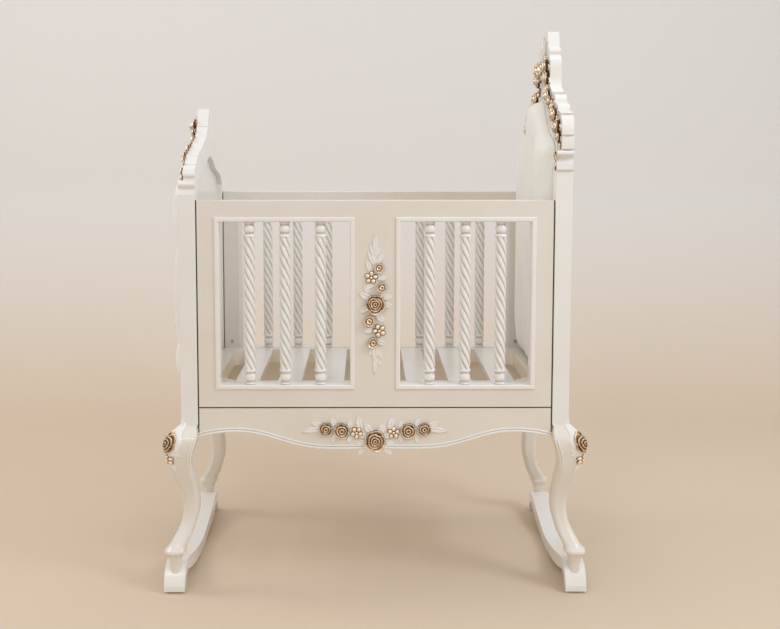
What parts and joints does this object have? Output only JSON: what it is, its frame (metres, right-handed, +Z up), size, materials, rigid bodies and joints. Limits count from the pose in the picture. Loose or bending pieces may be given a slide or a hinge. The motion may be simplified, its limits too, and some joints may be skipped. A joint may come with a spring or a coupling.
{
  "type": "rocking cradle",
  "caption": "White carved rocking cradle on curved rockers, with rope-twist spindles, cabriole legs, padded shaped ends, rose garlands and a slatted mattress base.",
  "frame": {"origin": "on the floor under the middle of the cradle", "axes": "+X to the head end, -Y to the front, +Z up"},
  "size_m": [0.9998, 0.572, 1.338],
  "materials": {
    "lacquered_wood": "ivory satin gloss lacquer on solid beech",
    "gilded_carving": "carved roses with antique gold patina, leaves in ivory lacquer",
    "upholstery": "cream soft upholstery, channelled",
    "bolt_steel": "zinc plated furniture bolts and screws",
    "beech_dowel": "plain beech dowels"
  },
  "bodies": {
    "root": {"barrel_nuts": "bolt_steel", "corner_blocks": "lacquered_wood", "dowels": "beech_dowel", "foot_apron": "lacquered_wood", "foot_bearer": "lacquered_wood", "foot_crest": "lacquered_wood", "foot_front_leg": "lacquered_wood", "foot_front_post": "lacquered_wood", "foot_garland": "gilded_carving", "foot_pad": "upholstery", "foot_panel": "lacquered_wood", "foot_rear_leg": "lacquered_wood", "foot_rear_post": "lacquered_wood", "foot_rocker": "lacquered_wood", "front_apron": "lacquered_wood", "front_apron_garland": "gilded_carving", "front_bearer": "lacquered_wood", "front_bottom_rail": "lacquered_wood", "front_centre_stile": "lacquered_wood", "front_foot_stile": "lacquered_wood", "front_head_stile": "lacquered_wood", "front_rose_spray": "gilded_carving", "front_spindle_1": "lacquered_wood", "front_spindle_2": "lacquered_wood", "front_spindle_3": "lacquered_wood", "front_spindle_4": "lacquered_wood", "front_spindle_5": "lacquered_wood", "front_spindle_6": "lacquered_wood", "front_top_rail": "lacquered_wood", "front_window_mouldings": "lacquered_wood", "head_apron": "lacquered_wood", "head_bearer": "lacquered_wood", "head_crest": "lacquered_wood", "head_front_leg": "lacquered_wood", "head_front_post": "lacquered_wood", "head_garland": "gilded_carving", "head_pad": "upholstery", "head_panel": "lacquered_wood", "head_rear_leg": "lacquered_wood", "head_rear_post": "lacquered_wood", "head_rocker": "lacquered_wood", "rear_apron": "lacquered_wood", "rear_apron_garland": "gilded_carving", "rear_bearer": "lacquered_wood", "rear_bottom_rail": "lacquered_wood", "rear_centre_stile": "lacquered_wood", "rear_foot_stile": "lacquered_wood", "rear_head_stile": "lacquered_wood", "rear_rose_spray": "gilded_carving", "rear_spindle_1": "lacquered_wood", "rear_spindle_2": "lacquered_wood", "rear_spindle_3": "lacquered_wood", "rear_spindle_4": "lacquered_wood", "rear_spindle_5": "lacquered_wood", "rear_spindle_6": "lacquered_wood", "rear_top_rail": "lacquered_wood", "rear_window_mouldings": "lacquered_wood", "rocker_screws": "bolt_steel", "side_bolts": "bolt_steel", "slats": "lacquered_wood"}
  },
  "joints": []
}
